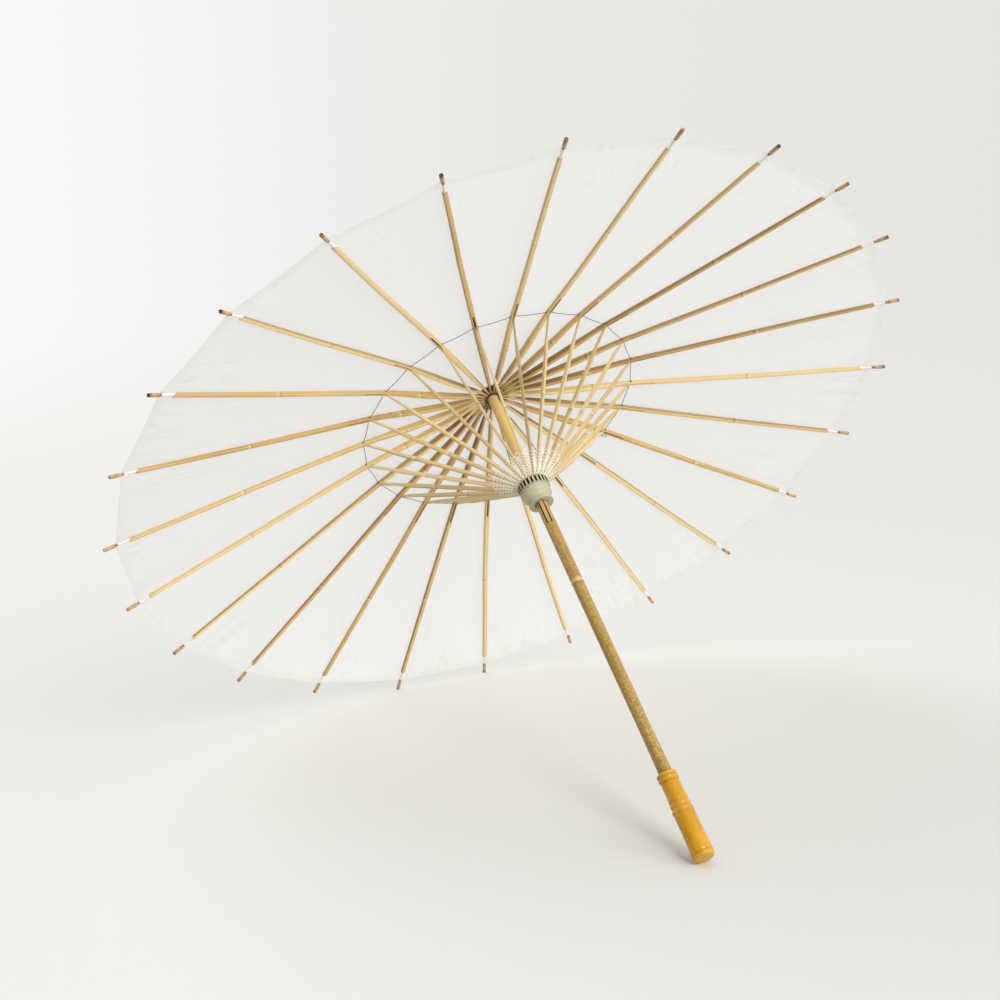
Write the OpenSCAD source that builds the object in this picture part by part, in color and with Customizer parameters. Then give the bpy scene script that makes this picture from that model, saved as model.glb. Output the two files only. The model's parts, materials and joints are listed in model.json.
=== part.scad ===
// Oil paper umbrella with 24 split-bamboo ribs, standing open on its handle end and two rib tips.
// Every sub-part is drawn upright in the shaft frame (z up the shaft, the rib pivots at z = 0)
// and then leaned over by placed(), so that the whole umbrella rests on the plane z = 0.

/* [Ribs] */
// Radius of the circle of rib pivots round the shaft
hub_r = 13; // [12.5:0.1:13.5]
// Radius at which the stretchers join the ribs
ring_r = 146; // [140:1:150]
// Drop of that joint below the rib pivots
ring_drop = 21; // [18:1:24]
// Radius of the rib tips, half of the width across the open canopy
tip_r = 420; // [400:1:440]
// Drop of the rib tips below the rib pivots
tip_drop = 75; // [68:1:82]
// Width of a rib over most of its length
rib_w = 5.4; // [4.5:0.1:5.6]
// Width of a rib where its wrapped end begins
rib_end_w = 4.6; // [3.6:0.1:4.8]
// Half of a rib's depth at the stretcher joint
rib_h = 2; // [1.8:0.05:2.1]
// Extra depth on a rib's underside between the notch and the stretcher joint
rib_belly = 2.8; // [0:0.2:3.2]
// Length of the slit that takes the folded stretcher
slit_len = 26; // [25:0.5:30]

/* [Runner and stretchers] */
// Depth of the stretchers' inner pivots below the rib pivots
runner_drop = 115.5; // [113:0.5:118]
// Radius of the circle of stretcher pivots on the runner
runner_r = 14; // [13.8:0.1:14.2]
// Width of a stretcher over most of its length
stretcher_w = 2.6; // [2.2:0.1:3.2]
// Half of a stretcher's depth at its two ends
stretcher_h = 1.1; // [0.9:0.05:1.15]
// Half of a stretcher's depth over most of its length
stretcher_deep = 2.2; // [1.2:0.1:2.3]
// Outer radius of the slotted band
band_r = 16; // [15.8:0.1:16.4]
// Bore of the runner
runner_bore_r = 6.5; // [6.45:0.05:7]

/* [Shaft and handle] */
// Radius of the bamboo shaft
shaft_r = 6; // [5.8:0.05:6]
// Depth of the handle's end below the rib pivots
overall_drop = 542; // [525:1:560]
// Length of the turned handle
handle_len = 87; // [84:1:92]
// Radius of the handle's straight grip
grip_r = 8.7; // [8.4:0.1:9]
// Radius of the straight band at the handle's end
end_r = 10.2; // [10:0.1:10.8]
// Radius of the rounded corner round the handle's flat end
corner_r = 3.2; // [2.6:0.1:3.8]

/* [Canopy] */
// Thickness of the oiled paper
paper_t = 0.4; // [0.3:0.05:0.6]
// How far the rib tips stand out past the edge of the paper
tip_out = 13; // [10:1:18]

/* [Hidden] */
rib_count = 24;
pitch = 360 / rib_count;
first_az = pitch / 2;
gap = 0.3;
$fn = 48;

// the rib: an inner stretch from the pivot to the stretcher joint, then an outer stretch to the tip
inner_slope = atan2(ring_drop, ring_r - hub_r);
inner_len = norm([ring_r - hub_r, ring_drop]);
outer_slope = atan2(tip_drop - ring_drop, tip_r - ring_r);
outer_len = norm([tip_r - ring_r, tip_drop - ring_drop]);
rib_len = inner_len + outer_len;
eye_r = 1.5;
tang_w = 1.6;
tang_len = 7;
block_r = 1.9;
block_len = 12;
neck_len = 14;
neck_w = 2.6;
neck_h = 0.9;
slit_w = 2;

// folding: the rib swings down to closed_angle from the shaft, and the stretcher swings in with it
closed_angle = 5.5;
rib_swing = 90 - inner_slope - closed_angle;
joint_closed_r = hub_r + inner_len * sin(closed_angle);
stretcher_len = norm([ring_r - runner_r, runner_drop - ring_drop]);
stretcher_open = atan2(ring_r - runner_r, runner_drop - ring_drop);
stretcher_closed = asin((joint_closed_r - runner_r) / stretcher_len);
sector_gap = 0.15;

// the stretcher's plan, measured from its runner end
foot_w = 1.8;
foot_len = 12;
end_w = 1.5;
end_len = 27;
taper = 6;
pin_r = 0.55;
pin_fit = 0.07;
wire_r = 0.45;
wire_fit = 0.15;

// threads, and where the lacing's rows cross the stretchers
ring_thread_r = 0.35;
white_thread_r = 0.4;
lacing_rows = [10, 20, 30];

// the runner, in heights above the rib pivots
runner_top = 3.5 - runner_drop;
slot_foot = -runner_drop - 8.5;
band_foot = slot_foot - 0.8;
runner_slot_w = 2.1;
runner_slot_r = 12.3;
body_r = 15;
waist_r = 12.2;
waist_h = 4.5;
foot_r = 13;
foot_z = -142;

// the pin above the runner, that stops it
stop_z = runner_top + 1.5;
stop_r = 1.15;
stop_fit = 0.05;
stop_len = 17;

// the shaft's top end and its pale node
shaft_top_r = 5.4;
shaft_top_len = 12;
shaft_taper_z = -120;
culm_r = 2.6;
culm_node_z = -239;
culm_node_h = 6;
culm_node_out = 0.25;

// the notch, and the domed cap with a round knob on it
notch_r = 17.5;
notch_slot_w = 2;
notch_top = 3.2;
notch_drop = 2.4;
groove_r = hub_r - 0.7;
groove_h = 1.2;
cap_r = notch_r + 3;
cap_z = notch_top + 0.05;
cap_plate_h = 2;
cap_skirt_w = 2.5;
cap_skirt_drop = 0.75;
dome_r = 27;
dome_z = notch_top - 14;
knob_r = 5;
knob_z = 20;

// the catch in the shaft
catch_az = 245;
catch_z = -166;
catch_r = 4.2;
catch_top = foot_z - 0.6;
catch_w = 3.4;
catch_slot_w = 5.6;
catch_foot_r = 1.2;
catch_out_r = 8.8;
catch_in_r = 6.4;
catch_nose_h = 4;

// the handle
handle_top = handle_len - overall_drop;
socket_len = 45;
socket_fit = 0.05;
end_flat_r = end_r - corner_r;
corner_z = corner_r - overall_drop;

// [radius, depth below the handle's top] up the handle, without its beads
handle_stations = [
    [0, handle_len],
    [end_flat_r, handle_len],
    [end_r, handle_len - corner_r],
    [end_r, 69],
    [grip_r + 0.9, 54],
    [grip_r + 0.8, 42.5],
    [grip_r + 0.3, 29.5],
    [grip_r, 21],
    [grip_r, 10],
    [grip_r - 1.3, 4],
    [grip_r - 1.3, 0],
    [0, 0]
];

// [centre radius, depth below the handle's top, bead radius]: the collar's two beads, the double bead
handle_beads = [
    [grip_r - 1.2, 2.1, 2.1],
    [grip_r - 1.6, 6.2, 2.6],
    [grip_r - 2.3, 32.6, 3.1],
    [grip_r - 1.6, 38.8, 3.1]
];

// the lean that puts the handle end's rounded corner and two neighbouring rib tips on the plane z = 0
tip_side_r = tip_r * cos(pitch / 2);
tip_reach = norm([tip_side_r - end_flat_r, -tip_drop - corner_z]);
tip_angle = atan2(-tip_drop - corner_z, tip_side_r - end_flat_r);

// a tip is a short round block: the drop of its lowest point below its end's centre at a given lean
function tip_dip(l) = block_r * sqrt(1 - pow(tip_axis_z(l), 2));
function tip_axis_z(l) = -cos(outer_slope) * cos(pitch / 2) * sin(l) - sin(outer_slope) * cos(l);
function lean_for(dip) = tip_angle + asin((corner_r - dip) / tip_reach);
function settle(l, n) = n == 0 ? l : settle(lean_for(tip_dip(l)), n - 1);
lean = settle(tip_angle, 12);

floor_z = corner_z * cos(lean) - end_flat_r * sin(lean) - corner_r;
front_y = corner_z * sin(lean) - end_flat_r * cos(lean) - corner_r;
tip_axis_y = cos(outer_slope) * cos(pitch / 2) * cos(lean) - sin(outer_slope) * sin(lean);
back_y = tip_side_r * cos(lean) - tip_drop * sin(lean) + block_r * sqrt(1 - pow(tip_axis_y, 2));

function two_digits(n) = n < 10 ? str("0", n) : str(n);
function rib_az(n) = first_az + pitch * (n - 1);

// lean the upright umbrella over and set its box's bottom centre on the origin
module placed() {
    translate([0, -(front_y + back_y) / 2, -floor_z]) rotate([-lean, 0, 0]) children();
}

// x runs outward from the shaft, z up it
module toward(az) {
    rotate([0, 0, az]) children();
}

// stand a drawing of (outward, up) in the plane of the shaft, w wide
module upright(w) {
    rotate([90, 0, 0]) linear_extrude(height = w, center = true) children();
}

// a straight bar across the plane of the shaft, at (outward, up)
module crossbar(x, z, r, w) {
    translate([x, 0, z]) rotate([90, 0, 0]) cylinder(r = r, h = w, center = true);
}

// a point on the rib at length s from its pivot, h above its centre line
function rib_point(s, h) = s <= inner_len
    ? [hub_r + s * cos(inner_slope) + h * sin(inner_slope), h * cos(inner_slope) - s * sin(inner_slope)]
    : [ring_r + (s - inner_len) * cos(outer_slope) + h * sin(outer_slope),
        h * cos(outer_slope) - ring_drop - (s - inner_len) * sin(outer_slope)];

// [length from the pivot, half depth, width] down a rib
rib_stations = [
    [0, eye_r, tang_w],
    [tang_len, eye_r, tang_w],
    [2.4 * tang_len, 1.8, rib_w],
    [inner_len, rib_h, rib_w],
    [inner_len + 0.45 * outer_len, 1.75, 0.9 * rib_w],
    [rib_len - block_len - neck_len, 1.5, rib_end_w],
    [rib_len - block_len - neck_len + 1.5, neck_h, neck_w],
    [rib_len - block_len + 0.4, neck_h, neck_w]
];
// the deeper stretch of the underside, [length from the pivot, depth below the centre line]
belly_points = [[34, 1.85 + rib_belly], [80, 1.9 + rib_belly], [120, rib_h]];

// the 15 degree sector that one rib or stretcher may fill when the umbrella is shut
module sector() {
    inset = sector_gap / sin(pitch / 2);
    reach = 80;
    side = reach * tan(pitch / 2);
    linear_extrude(height = 1200, center = true)
        polygon([[inset, 0], [inset + reach, -side], [inset + reach, side]]);
}

// turn children about the crosswise axis at (x, z): a positive angle lifts what lies outward
module swung(x, z, angle) {
    translate([x, 0, z]) rotate([0, -angle, 0]) translate([-x, 0, -z]) children();
}

module rib_blank() {
    last = len(rib_stations) - 1;
    upright(20) {
        polygon(concat(
            [for (i = [0:last]) rib_point(rib_stations[i][0], rib_stations[i][1])],
            [for (i = [last:-1:3]) rib_point(rib_stations[i][0], -rib_stations[i][1])],
            [for (i = [2:-1:0]) rib_point(belly_points[i][0], -belly_points[i][1])],
            [for (i = [2:-1:0]) rib_point(rib_stations[i][0], -rib_stations[i][1])]
        ));
    }
}

module rib_plan() {
    last = len(rib_stations) - 1;
    translate([0, 0, -100]) linear_extrude(height = 110) polygon(concat(
        [[hub_r - 5, -tang_w / 2]],
        [for (i = [0:last]) [rib_point(rib_stations[i][0], 0)[0], -rib_stations[i][2] / 2]],
        [for (i = [last:-1:0]) [rib_point(rib_stations[i][0], 0)[0], rib_stations[i][2] / 2]],
        [[hub_r - 5, tang_w / 2]]
    ));
}

module rib_slit() {
    translate([ring_r, 0, -ring_drop]) rotate([0, outer_slope, 0])
        translate([-4.4, -slit_w / 2, -6]) cube([4.4 + slit_len, slit_w, 7.5]);
}

module tip_block() {
    translate([tip_r, 0, -tip_drop]) rotate([0, outer_slope - 90, 0]) cylinder(r = block_r, h = block_len);
}

module rib(n) {
    color("peru") placed() toward(rib_az(n)) {
        difference() {
            union() {
                intersection() {
                    rib_blank();
                    rib_plan();
                    swung(hub_r, 0, rib_swing) sector();
                }
                crossbar(hub_r, 0, eye_r, tang_w);
            }
            rib_slit();
            crossbar(hub_r, 0, wire_r + wire_fit, 10);
            crossbar(ring_r, -ring_drop, pin_r + pin_fit, 10);
        }
        tip_block();
    }
}

// the stretcher lies along x from its runner end, z across its depth
module stretcher_frame() {
    translate([runner_r, 0, -runner_drop]) rotate([0, stretcher_open - 90, 0]) children();
}

module stretcher(n) {
    color("wheat") placed() toward(rib_az(n)) {
        intersection() {
            stretcher_frame() intersection() {
                upright(20) {
                    stretcher_profile();
                    circle(r = stretcher_h);
                    translate([stretcher_len, 0]) circle(r = 1.3);
                }
                translate([0, 0, -5]) linear_extrude(height = 10) stretcher_plan();
            }
            swung(ring_r, -ring_drop, stretcher_closed - stretcher_open)
                translate([ring_r - joint_closed_r, 0, 0]) sector();
        }
        crossbar(ring_r, -ring_drop, pin_r, rib_w + 0.4);
    }
}

module stretcher_profile() {
    deep = [foot_len + 2 * taper, stretcher_len - end_len - 2 * taper];
    half = [[0, stretcher_h], [foot_len, stretcher_h], [deep[0], stretcher_deep], [deep[1], stretcher_deep],
        [stretcher_len - end_len, stretcher_h], [stretcher_len, stretcher_h]];
    polygon(concat(
        [for (p = half) [p[0], -p[1]]],
        [for (i = [len(half) - 1:-1:0]) half[i]]
    ));
}

module stretcher_plan() {
    wide = [foot_len + taper, stretcher_len - end_len - taper];
    half = [[-2, foot_w], [foot_len, foot_w], [wide[0], stretcher_w], [wide[1], stretcher_w],
        [stretcher_len - end_len, end_w], [stretcher_len + 2, end_w]];
    polygon(concat(
        [for (p = half) [p[0], -p[1] / 2]],
        [for (i = [len(half) - 1:-1:0]) [half[i][0], half[i][1] / 2]]
    ));
}

module shaft() {
    color("goldenrod") placed() difference() {
        union() {
            translate([0, 0, -shaft_top_len]) cylinder(r = shaft_top_r, h = shaft_top_len + notch_top);
            translate([0, 0, shaft_taper_z])
                cylinder(r1 = shaft_r, r2 = shaft_top_r, h = -shaft_taper_z - shaft_top_len);
            translate([0, 0, handle_top - socket_len])
                cylinder(r = shaft_r, h = socket_len - handle_top + shaft_taper_z);
            translate([0, 0, culm_node_z - culm_node_h / 2])
                cylinder(r = shaft_r + culm_node_out, h = culm_node_h);
        }
        translate([0, 0, handle_top - socket_len - 1]) cylinder(r = culm_r, h = overall_drop);
        toward(catch_az) translate([0, -catch_slot_w / 2, catch_z - 2])
            cube([20, catch_slot_w, catch_top - catch_z + 6]);
        toward(catch_az) crossbar(0, stop_z, stop_r + stop_fit, 40);
    }
}

module stop_pin() {
    color("tan") placed() toward(catch_az) crossbar(0, stop_z, stop_r, stop_len);
}

module catch_spring() {
    color("burlywood") placed() toward(catch_az) upright(catch_w) {
        translate([catch_r, catch_z]) circle(r = catch_foot_r);
        polygon([[catch_r - 1, catch_z], [catch_r + 1.15, catch_z], [catch_out_r, catch_top - catch_nose_h],
            [catch_out_r, catch_top], [catch_in_r, catch_top]]);
    }
}

module handle() {
    color("orange") placed() difference() {
        rotate_extrude() {
            polygon([for (p = handle_stations) [p[0], handle_top - p[1]]]);
            for (b = handle_beads) {
                translate([b[0], handle_top - b[1]]) circle(r = b[2]);
            }
            translate([end_flat_r, corner_z]) circle(r = corner_r);
        }
        translate([0, 0, handle_top - socket_len - 0.5]) cylinder(r = shaft_r + socket_fit, h = 100);
    }
}

module top_notch() {
    color("saddlebrown") placed() difference() {
        translate([0, 0, -notch_drop]) cylinder(r = notch_r, h = notch_drop + notch_top);
        translate([0, 0, -20]) cylinder(r = shaft_top_r + 0.1, h = 40);
        rotate_extrude() translate([groove_r, -groove_h / 2]) square([10, groove_h]);
        for (n = [1:rib_count]) {
            toward(rib_az(n)) translate([hub_r - eye_r - 0.2, -notch_slot_w / 2, -20])
                cube([10, notch_slot_w, 22]);
        }
    }
}

module upper_hinge_wire() {
    color("dimgray") placed() rotate_extrude() translate([hub_r, 0]) circle(r = wire_r);
}

module top_cap() {
    color("sienna") placed() rotate_extrude() {
        translate([0, cap_z]) square([cap_r, cap_plate_h]);
        translate([cap_r - cap_skirt_w, cap_z - cap_skirt_drop]) square([cap_skirt_w, cap_plate_h]);
        intersection() {
            translate([0, dome_z]) circle(r = dome_r);
            translate([0, cap_z + cap_plate_h - 0.5]) square([cap_r, dome_r]);
        }
        translate([0, knob_z - knob_r]) square([knob_r, knob_r]);
        intersection() {
            translate([0, knob_z]) circle(r = knob_r);
            translate([0, knob_z - 0.5]) square([knob_r, knob_r + 1]);
        }
    }
}

module runner() {
    color("darkseagreen") placed() difference() {
        rotate_extrude() {
            translate([0, band_foot]) square([band_r, runner_top - band_foot]);
            polygon([[0, foot_z], [foot_r, foot_z], [waist_r, foot_z + waist_h],
                [body_r, foot_z + 2 * waist_h], [body_r, slot_foot + 1], [0, slot_foot + 1]]);
        }
        translate([0, 0, foot_z - 5]) cylinder(r = runner_bore_r, h = 60);
        for (n = [1:rib_count]) {
            toward(rib_az(n)) translate([runner_slot_r, -runner_slot_w / 2, slot_foot])
                cube([10, runner_slot_w, 40]);
        }
    }
}

// the top of the ribs, as (radius, height) points that the paper follows
function over_rib(i, h) = rib_point(rib_stations[i][0], rib_stations[i][1] + h);

module canopy() {
    edge_r = (tip_r - tip_out) * cos(pitch / 2);
    inner = [notch_r + 0.6, eye_r + 0.1];
    color("ivory") placed() intersection() {
        rotate_extrude($fn = 96) polygon([
            inner, over_rib(3, gap), over_rib(4, gap), rib_point(rib_len, 2 + gap),
            rib_point(rib_len, 2 + gap + paper_t), over_rib(4, gap + paper_t), over_rib(3, gap + paper_t),
            inner + [0, paper_t]
        ]);
        translate([0, 0, -150]) linear_extrude(height = 200)
            polygon([for (n = [1:rib_count]) edge_r / cos(pitch / 2) * [cos(rib_az(n)), sin(rib_az(n))]]);
    }
}

// straight pieces of thread from the side of one rib to the next, at (radius, height)
module thread_ring(r, z, thread_r, clear) {
    for (n = [1:rib_count]) {
        toward(rib_az(n) + pitch / 2)
            crossbar(r * cos(pitch / 2), z, thread_r, 2 * (r * sin(pitch / 2) - clear));
    }
}

module ring_thread() {
    color("darkslategray") placed() thread_ring(ring_r, -ring_drop, ring_thread_r, rib_w / 2 + 0.6);
}

module rim_thread() {
    hem = rib_point(rib_len - tip_out - 8, 1);
    color("white") placed() thread_ring(hem[0], hem[1], white_thread_r, rib_end_w / 2 + 0.6);
}

module lacing() {
    color("white") placed() for (d = lacing_rows) {
        thread_ring(runner_r + d * sin(stretcher_open), d * cos(stretcher_open) - runner_drop, white_thread_r,
            stretcher_w / 2 + 0.4);
    }
}

shaft();
handle();
top_notch();
top_cap();
upper_hinge_wire();
stop_pin();
catch_spring();
runner();
canopy();
ring_thread();
rim_thread();
lacing();
for (n = [1:rib_count]) {
    rib(n);
    stretcher(n);
}
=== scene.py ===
"""Looks of the oil paper umbrella: 24 split-bamboo ribs and stretchers, paper gores, threads,
bamboo shaft, moulded runner and lacquered handle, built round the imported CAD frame."""
import json
import math
import random

import bpy
from mathutils import Matrix, Vector, noise


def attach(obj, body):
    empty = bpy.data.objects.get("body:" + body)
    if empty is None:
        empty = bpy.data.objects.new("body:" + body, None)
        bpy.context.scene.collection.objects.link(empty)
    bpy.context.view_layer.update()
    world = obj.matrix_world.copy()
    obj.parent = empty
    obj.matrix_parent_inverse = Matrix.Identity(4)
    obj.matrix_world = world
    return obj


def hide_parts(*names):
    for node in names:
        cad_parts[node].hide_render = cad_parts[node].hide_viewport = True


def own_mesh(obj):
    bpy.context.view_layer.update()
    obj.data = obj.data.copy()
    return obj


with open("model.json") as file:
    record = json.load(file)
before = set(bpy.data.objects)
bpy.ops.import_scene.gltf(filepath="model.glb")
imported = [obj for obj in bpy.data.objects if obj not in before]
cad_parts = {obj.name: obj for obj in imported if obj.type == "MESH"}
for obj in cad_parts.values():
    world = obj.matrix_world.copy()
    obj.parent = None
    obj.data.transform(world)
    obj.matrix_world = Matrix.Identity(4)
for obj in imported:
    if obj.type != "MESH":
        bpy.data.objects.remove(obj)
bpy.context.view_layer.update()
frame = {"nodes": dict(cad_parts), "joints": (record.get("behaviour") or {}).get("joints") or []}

MM = 0.001
RIB_COUNT = 24
HALF_PITCH = math.pi / RIB_COUNT


# ---------------------------------------------------------------- camera

CAMERA_PLACE = (-0.7194, -1.6382, 0.6643)
CAMERA_HEADING = 22.53
CAMERA_TILT = 12.27
CAMERA_ROLL = 4.07
CAMERA_LENS = 66.5


def make_camera():
    data = bpy.data.cameras.new("camera")
    data.sensor_width = 36
    data.lens = CAMERA_LENS
    camera = bpy.data.objects.new("camera", data)
    bpy.context.collection.objects.link(camera)
    turn = Matrix.Rotation(math.radians(-CAMERA_HEADING), 4, "Z")
    tilt = Matrix.Rotation(math.radians(90 - CAMERA_TILT), 4, "X")
    roll = Matrix.Rotation(math.radians(-CAMERA_ROLL), 4, "Z")
    camera.matrix_world = Matrix.Translation(CAMERA_PLACE) @ turn @ tilt @ roll
    bpy.context.scene.camera = camera


make_camera()


# ---------------------------------------------------------------- places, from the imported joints

joints = {j["name"]: j for j in frame["joints"]}
UP = -Vector(joints["runner_slide"]["axis"])


def number(n):
    return f"{n:02d}"


rib_pivots = [Vector(joints[f"rib_{number(n)}_hinge"]["pos_m"]) for n in range(1, RIB_COUNT + 1)]
HUB = sum(rib_pivots, Vector()) / RIB_COUNT
HUB_R = (rib_pivots[0] - HUB).length
ring_joint = Vector(joints["stretcher_01_hinge"]["pos_m"]) - HUB
RING_Z = ring_joint.dot(UP)
RING_R = (ring_joint - UP * RING_Z).length

RUNNER_R = 14 * MM
RUNNER_Z = -115.5 * MM
TIP_R = 420 * MM
TIP_Z = -75 * MM
BLOCK = 12 * MM
NECK = 14 * MM

INNER_LEN = math.hypot(RING_R - HUB_R, RING_Z)
INNER_SLOPE = math.atan2(-RING_Z, RING_R - HUB_R)
OUTER_LEN = math.hypot(TIP_R - RING_R, TIP_Z - RING_Z)
OUTER_SLOPE = math.atan2(RING_Z - TIP_Z, TIP_R - RING_R)
RIB_LEN = INNER_LEN + OUTER_LEN
STRETCHER_LEN = math.hypot(RING_R - RUNNER_R, RING_Z - RUNNER_Z)
STRETCHER_RISE = math.atan2(RING_Z - RUNNER_Z, RING_R - RUNNER_R)
FOLDED = math.radians(5.5)


class Spoke:
    """The upright half-plane of one azimuth: x outward, y sideways, z up the shaft."""

    def __init__(self, azimuth):
        east = Vector((1, 0, 0))
        north = UP.cross(east)
        self.out = east * math.cos(azimuth) + north * math.sin(azimuth)
        self.side = UP.cross(self.out)

    def at(self, x, y, z):
        return HUB + self.out * x + self.side * y + UP * z


def rib_spoke(n):
    return Spoke(HALF_PITCH * (2 * n - 1))


def along_rib(s, h=0.0):
    """(x, z) at length s from the rib's pivot, h above its centre line."""
    if s <= INNER_LEN:
        slope, x, z, d = INNER_SLOPE, HUB_R, 0.0, s
    else:
        slope, x, z, d = OUTER_SLOPE, RING_R, RING_Z, s - INNER_LEN
    return (
        x + d * math.cos(slope) + h * math.sin(slope),
        z - d * math.sin(slope) + h * math.cos(slope),
    )


def along_stretcher(d, h=0.0):
    """(x, z) at length d from the stretcher's runner pivot, h above its centre line."""
    return (
        RUNNER_R + d * math.cos(STRETCHER_RISE) - h * math.sin(STRETCHER_RISE),
        RUNNER_Z + d * math.sin(STRETCHER_RISE) + h * math.cos(STRETCHER_RISE),
    )


def between(stations, s):
    """Reads a list of (place, value, value...) at s, in straight steps."""
    if s <= stations[0][0]:
        return stations[0][1:]
    for low, high in zip(stations, stations[1:]):
        if s <= high[0]:
            f = (s - low[0]) / (high[0] - low[0])
            return tuple(a + (b - a) * f for a, b in zip(low[1:], high[1:]))
    return stations[-1][1:]


def bell(x, middle, width):
    return math.exp(-(((x - middle) / width) ** 2))


# ---------------------------------------------------------------- mesh helpers


class Build:
    """Collects vertices, faces, texture places in metres, marks and material numbers for one piece."""

    def __init__(self):
        self.verts = []
        self.faces = []
        self.uvs = []
        self.marks = []
        self.slots = []

    def add(self, points, marks):
        start = len(self.verts)
        self.verts += points
        self.marks += marks
        return start

    def join(self, other):
        """Takes over all of another collection."""
        start = self.add(other.verts, other.marks)
        self.faces += [tuple(start + i for i in face) for face in other.faces]
        self.uvs += other.uvs
        self.slots += other.slots

    def loft(self, rings, lengths, marks, slot=0, shift=0.0, caps=True):
        """Skins closed rings of equal count. lengths is each ring's place along the grain."""
        count = len(rings[0])
        start = self.add([p for ring in rings for p in ring], [m for ms in marks for m in ms])
        middle = rings[len(rings) // 2]
        around = [0.0]
        for k in range(count):
            around.append(around[-1] + (middle[(k + 1) % count] - middle[k]).length)
        for i in range(len(rings) - 1):
            for k in range(count):
                a, b = start + i * count, start + (i + 1) * count
                j = (k + 1) % count
                self.faces.append((a + k, a + j, b + j, b + k))
                u, w = around[k] + shift, around[k + 1] + shift
                v, t = lengths[i], lengths[i + 1]
                self.uvs.append(((u, v), (w, v), (w, t), (u, t)))
                self.slots.append(slot)
        if caps:
            for row, order in ((0, -1), (len(rings) - 1, 1)):
                ids = list(range(start + row * count, start + (row + 1) * count))[::order]
                self.faces.append(tuple(ids))
                self.uvs.append(tuple((around[i % count] + shift, lengths[row]) for i in range(count)))
                self.slots.append(slot)

    def tube(self, points, radius, sides=6, slot=0, mark=(0, 0, 0), caps=True):
        rings, lengths, run = [], [], 0.0
        across = None
        for i, p in enumerate(points):
            ahead = points[min(i + 1, len(points) - 1)] - points[max(i - 1, 0)]
            ahead.normalize()
            if across is None:
                across = ahead.orthogonal()
            across = (across - ahead * across.dot(ahead)).normalized()
            other = ahead.cross(across)
            r = radius(i / (len(points) - 1)) if callable(radius) else radius
            turns = [2 * math.pi * k / sides for k in range(sides)]
            rings.append([p + (across * math.cos(a) + other * math.sin(a)) * r for a in turns])
            run += (p - points[i - 1]).length if i else 0.0
            lengths.append(run)
        self.loft(rings, lengths, [[mark] * sides] * len(rings), slot, caps=caps)

    def lathe(self, profile, sides=64, slot=0, mark=None, wobble=None):
        """Turns (radius, height) points round the shaft axis. The ends close on the axis or stay open."""
        rings, marks, lengths, run = [], [], [], 0.0
        for i, (r, z) in enumerate(profile):
            ring = []
            for k in range(sides):
                a = 2 * math.pi * k / sides
                rr = r + (wobble(a, z) if wobble else 0.0)
                ring.append(Spoke(a).at(rr, 0, z))
            rings.append(ring)
            marks.append([mark(z) if mark else (0, 0, 0)] * sides)
            if i:
                run += math.hypot(r - profile[i - 1][0], z - profile[i - 1][1])
            lengths.append(run)
        self.loft(rings, lengths, marks, slot)

    def piece(self, name, materials, sharp=None):
        mesh = bpy.data.meshes.new(name)
        mesh.from_pydata([tuple(v) for v in self.verts], [], self.faces)
        layer = mesh.uv_layers.new(name="grain")
        flat = [c for face in self.uvs for uv in face for c in uv]
        layer.data.foreach_set("uv", flat)
        marks = mesh.color_attributes.new("mark", "FLOAT_COLOR", "POINT")
        marks.data.foreach_set("color", [c for m in self.marks for c in (*m, 1.0)])
        for material in materials:
            mesh.materials.append(material)
        mesh.polygons.foreach_set("material_index", self.slots)
        mesh.shade_smooth()
        if sharp is not None:
            mesh.set_sharp_from_angle(angle=math.radians(sharp))
        mesh.update()
        obj = bpy.data.objects.new(name, mesh)
        bpy.context.collection.objects.link(obj)
        return obj


def carve(obj, cutter):
    """Cuts the cutter's solids out of obj for good."""
    cut = obj.modifiers.new("cut", "BOOLEAN")
    cut.operation = "DIFFERENCE"
    cut.solver = "EXACT"
    cut.object = cutter
    graph = bpy.context.evaluated_depsgraph_get()
    mesh = bpy.data.meshes.new_from_object(obj.evaluated_get(graph), depsgraph=graph)
    obj.modifiers.clear()
    obj.data = mesh
    bpy.data.objects.remove(cutter)


def arc(r, z, radius, start, stop, steps=8):
    """Points on an arc of a turned outline, angles in degrees from outward, counted upward."""
    turns = [math.radians(start + (stop - start) * i / steps) for i in range(steps + 1)]
    return [(r + radius * math.cos(a), z + radius * math.sin(a)) for a in turns]


def in_metres(outline):
    return [(r * MM, z * MM) for r, z in outline]


# ---------------------------------------------------------------- materials


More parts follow.
